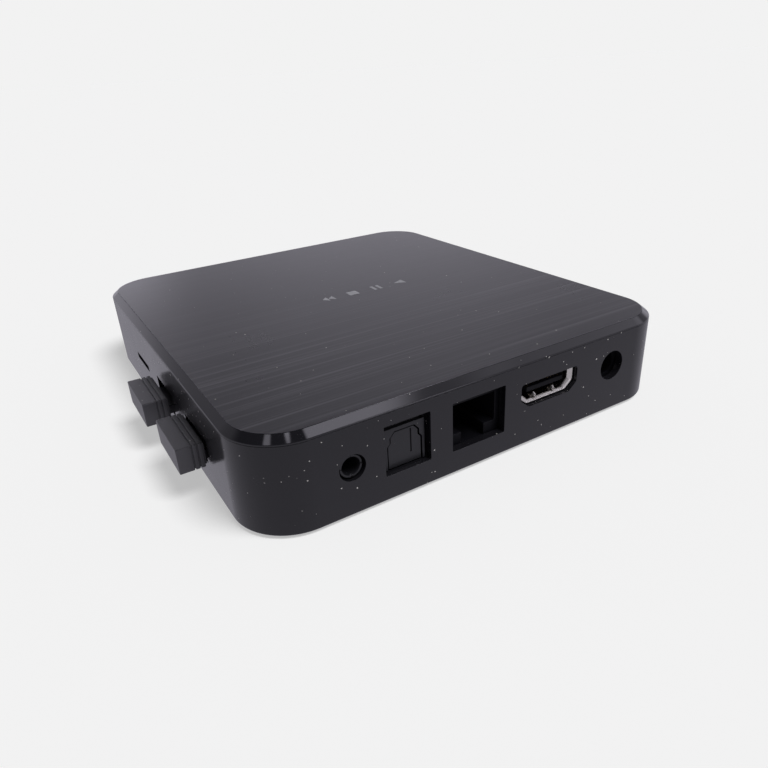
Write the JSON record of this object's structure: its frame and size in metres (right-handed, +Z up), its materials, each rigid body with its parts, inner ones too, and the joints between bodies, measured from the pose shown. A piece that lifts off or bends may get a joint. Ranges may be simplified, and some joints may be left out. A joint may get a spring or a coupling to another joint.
{
  "type": "streaming media player",
  "caption": "Flat square-cornered set-top player with rear HDMI, network, optical, audio and power sockets, two side USB ports closed by pull-out dust plugs, and a sprung optical shutter.",
  "frame": {"origin": "centre of the bounding box in plan, on the plane that the feet stand on; the middle of the case is 3.45 mm towards -X from it, because the dust plugs stand out on the +X side", "axes": "+Z up out of the lid, +Y out of the rear wall with the sockets, +X out of the side with the USB ports, -Y the front with the window"},
  "size_m": [0.1168, 0.12, 0.0219],
  "materials": {
    "case_plastic": "black moulded ABS with a semi-gloss surface",
    "cover_plastic": "black moulded lid with a fine hairline grain and a polished bevel",
    "rubber": "matt black foot rubber",
    "plug_rubber": "black silicone rubber, satin",
    "button_rubber": "dark button plastic",
    "smoked_window": "dark red-black polished window",
    "socket_plastic": "black connector plastic",
    "steel": "tin-plated sheet steel",
    "zinc": "zinc-plated screws",
    "gold": "gold-plated contact wires",
    "aluminium": "plain extruded or drawn aluminium",
    "board_green": "glass-epoxy board with green solder mask",
    "chip_black": "moulded epoxy package",
    "thermal_grey": "soft thermal pad",
    "ferrite": "ferrite core",
    "antenna_yellow": "flexible film aerial",
    "cable_grey": "thin coaxial jacket",
    "lamp_epoxy": "clear epoxy lamp"
  },
  "bodies": {
    "player": {"base_housing": "case_plastic", "top_cover": "cover_plastic", "front_window": "smoked_window", "main_board": "board_green", "processor": "chip_black", "thermal_pad": "thermal_grey", "heatsink": "aluminium", "memory_chip_1": "chip_black", "memory_chip_2": "chip_black", "flash_chip": "chip_black", "capacitor_1": "aluminium", "capacitor_2": "aluminium", "power_inductor": "ferrite", "clock_crystal": "steel", "lan_transformer": "chip_black", "radio_module": "steel", "radio_antenna": "antenna_yellow", "infrared_receiver": "chip_black", "status_lamp": "lamp_epoxy", "antenna_lead": "cable_grey", "power_socket": "socket_plastic", "power_pin": "steel", "video_shell": "steel", "video_insulator": "socket_plastic", "lan_housing": "socket_plastic", "lan_contacts": "gold", "optical_housing": "socket_plastic", "optical_emitter": "chip_black", "av_socket": "socket_plastic", "reset_switch": "steel", "optical_door_spring": "steel", "optical_door_pin": "steel", "card_socket": "steel", "port_shell_1": "steel", "port_tongue_1": "socket_plastic", "port_shell_2": "steel", "port_tongue_2": "socket_plastic", "case_screw_1": "zinc", "board_screw_1": "zinc", "rubber_foot_1": "rubber", "case_screw_2": "zinc", "board_screw_2": "zinc", "rubber_foot_2": "rubber", "case_screw_3": "zinc", "board_screw_3": "zinc", "rubber_foot_3": "rubber", "case_screw_4": "zinc", "board_screw_4": "zinc", "rubber_foot_4": "rubber"},
    "optical_door": {"optical_door": "socket_plastic"},
    "dust_plug_1": {"dust_plug_1": "plug_rubber"},
    "dust_plug_2": {"dust_plug_2": "plug_rubber"},
    "reset_button": {"reset_button": "button_rubber"}
  },
  "joints": [
    {"name": "optical_door_hinge", "type": "hinge", "parent": "player", "child": "optical_door", "pos_m": [0.01875, 0.05545, 0.01495], "axis": [-1, 0, 0], "range_deg": [0, 80], "stiffness_Nm_per_rad": 0.0002, "springref_deg": -34.38},
    {"name": "dust_plug_1_slide", "type": "slide", "parent": "player", "child": "dust_plug_1", "axis": [1, 0, 0], "range_m": [0, 0.0135]},
    {"name": "dust_plug_2_slide", "type": "slide", "parent": "player", "child": "dust_plug_2", "axis": [1, 0, 0], "range_m": [-0.0008, 0.0127]},
    {"name": "reset_button_press", "type": "slide", "parent": "player", "child": "reset_button", "axis": [0, -1, 0], "range_m": [0, 0.00025], "stiffness_N_per_m": 400, "springref_m": -0.0002}
  ]
}
